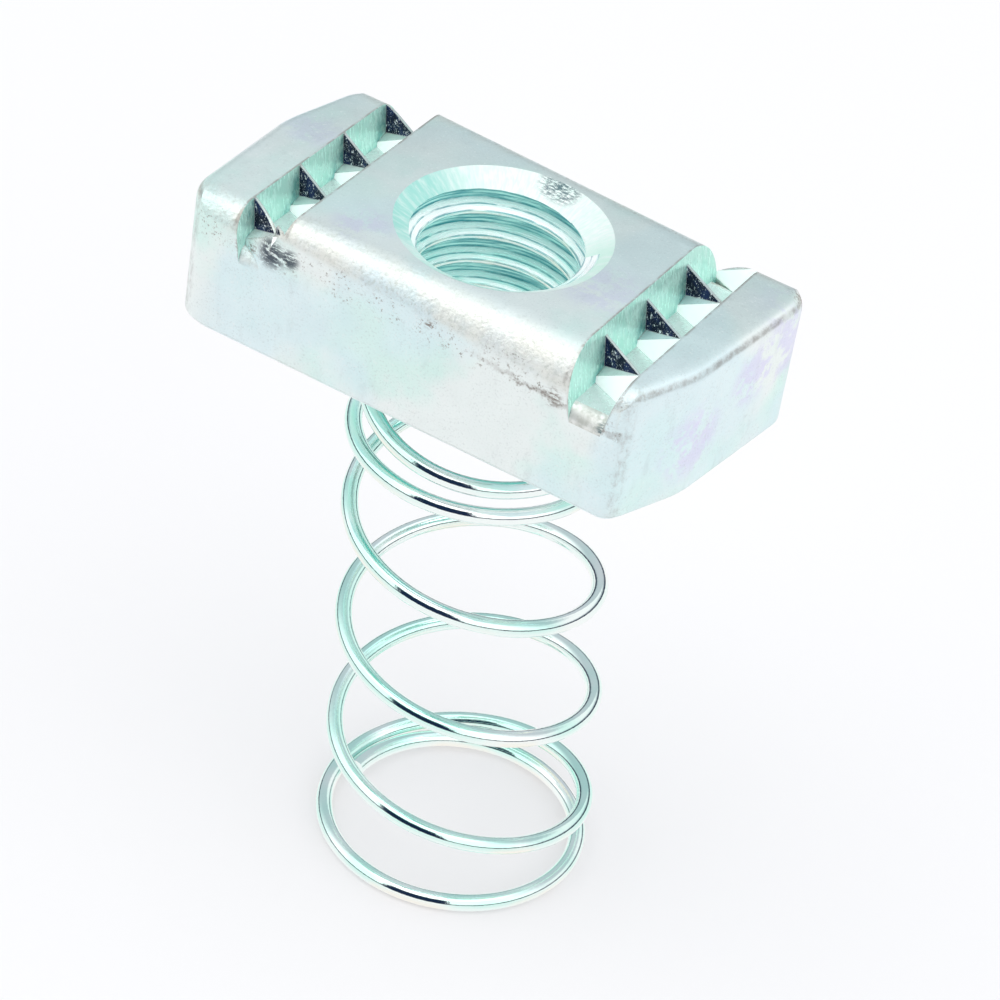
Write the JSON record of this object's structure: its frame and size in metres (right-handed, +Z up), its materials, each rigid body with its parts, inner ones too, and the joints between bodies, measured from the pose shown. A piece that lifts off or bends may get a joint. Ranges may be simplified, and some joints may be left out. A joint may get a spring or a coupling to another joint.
{
  "type": "strut spring nut",
  "caption": "Toothed rectangular channel nut with a central threaded hole, standing on a coil spring that is seated in its underside.",
  "frame": {"origin": "middle of the threaded hole on the nut's clamping face", "axes": "+Z up along the hole, away from the spring; +X along the nut; +Y along the two toothed grooves"},
  "size_m": [0.0369, 0.0213, 0.0514],
  "materials": {
    "nut_zinc": "bright zinc plate over a forged surface",
    "spring_zinc": "bright zinc plate over drawn wire"
  },
  "bodies": {
    "spring": {"spring": "spring_zinc"},
    "nut": {"nut_body": "nut_zinc"}
  },
  "joints": [
    {"name": "spring_compress", "type": "slide", "parent": "spring", "child": "nut", "axis": [0, 0, -1], "range_m": [0, 0.028], "stiffness_N_per_m": 750, "springref_m": -0.0008, "deforming": ["spring"]}
  ]
}
